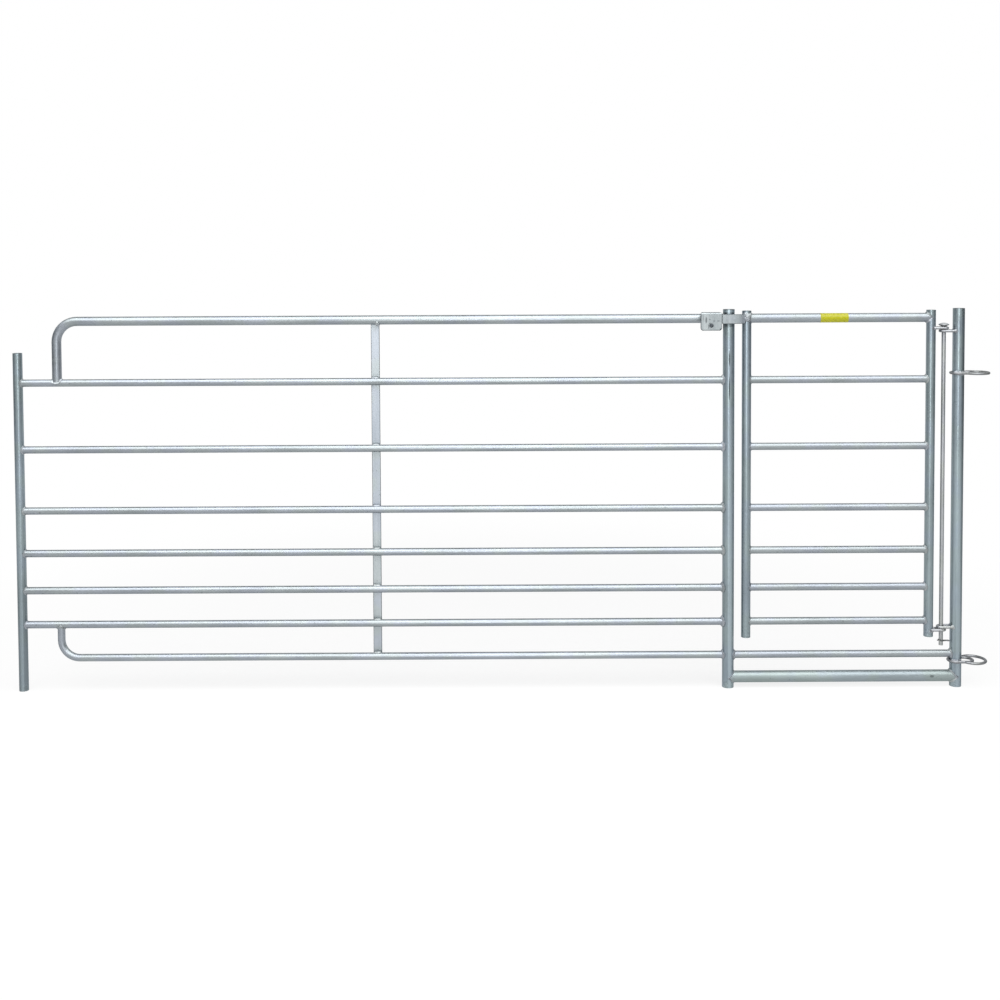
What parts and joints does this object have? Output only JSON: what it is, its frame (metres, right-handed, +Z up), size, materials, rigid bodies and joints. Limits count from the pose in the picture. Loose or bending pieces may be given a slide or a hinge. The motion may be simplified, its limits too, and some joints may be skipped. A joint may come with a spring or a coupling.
{
  "type": "sheep hurdle with gate",
  "caption": "Welded galvanised tube hurdle for penning sheep, with a narrow hinged gate at one end, a sliding saddle latch and coupling rings for the next hurdle.",
  "frame": {"origin": "centre of the middle post's foot, on the ground", "axes": "+X along the hurdle towards the gate, +Y away from the front face, +Z up"},
  "size_m": [2.8519, 0.08, 1.1145],
  "materials": {
    "galvanised_tube": "hot-dip galvanised, dull",
    "galvanised_bar": "hot-dip galvanised, dull and a little lumpy",
    "zinc_fastener": "zinc plated, dulled",
    "label_film": "plain yellow film"
  },
  "bodies": {
    "hurdle": {"left_post": "galvanised_tube", "middle_post": "galvanised_tube", "right_post": "galvanised_tube", "top_rail": "galvanised_tube", "panel_rail_1": "galvanised_tube", "panel_rail_2": "galvanised_tube", "panel_rail_3": "galvanised_tube", "panel_rail_4": "galvanised_tube", "panel_rail_5": "galvanised_tube", "panel_rail_6": "galvanised_tube", "bottom_rail": "galvanised_tube", "brace_strap": "galvanised_bar", "sill_rail": "galvanised_tube", "sill_tube": "galvanised_tube", "ring_upper": "galvanised_bar", "ring_lower": "galvanised_bar", "hinge_rod": "galvanised_bar", "hinge_clip": "galvanised_bar", "post_eye_top": "galvanised_bar", "post_eye_bottom": "galvanised_bar"},
    "gate": {"gate_latch_stile": "galvanised_tube", "gate_hinge_stile": "galvanised_tube", "gate_top_rail": "galvanised_tube", "gate_rail_1": "galvanised_tube", "gate_rail_2": "galvanised_tube", "gate_rail_3": "galvanised_tube", "gate_rail_4": "galvanised_tube", "gate_rail_5": "galvanised_tube", "gate_rail_6": "galvanised_tube", "gate_eye_top": "galvanised_bar", "gate_eye_bottom": "galvanised_bar", "latch_tongue": "galvanised_bar", "label": "label_film"},
    "latch": {"latch_saddle": "galvanised_bar", "latch_bolt": "zinc_fastener", "latch_nut": "zinc_fastener"}
  },
  "joints": [
    {"name": "gate_hinge", "type": "hinge", "parent": "hurdle", "child": "gate", "pos_m": [0.628, 0, 0.6], "axis": [0, 0, 1], "range_deg": [0, 120]},
    {"name": "latch_slide", "type": "slide", "parent": "hurdle", "child": "latch", "axis": [1, 0, 0], "range_m": [-0.928, 0.006]}
  ]
}
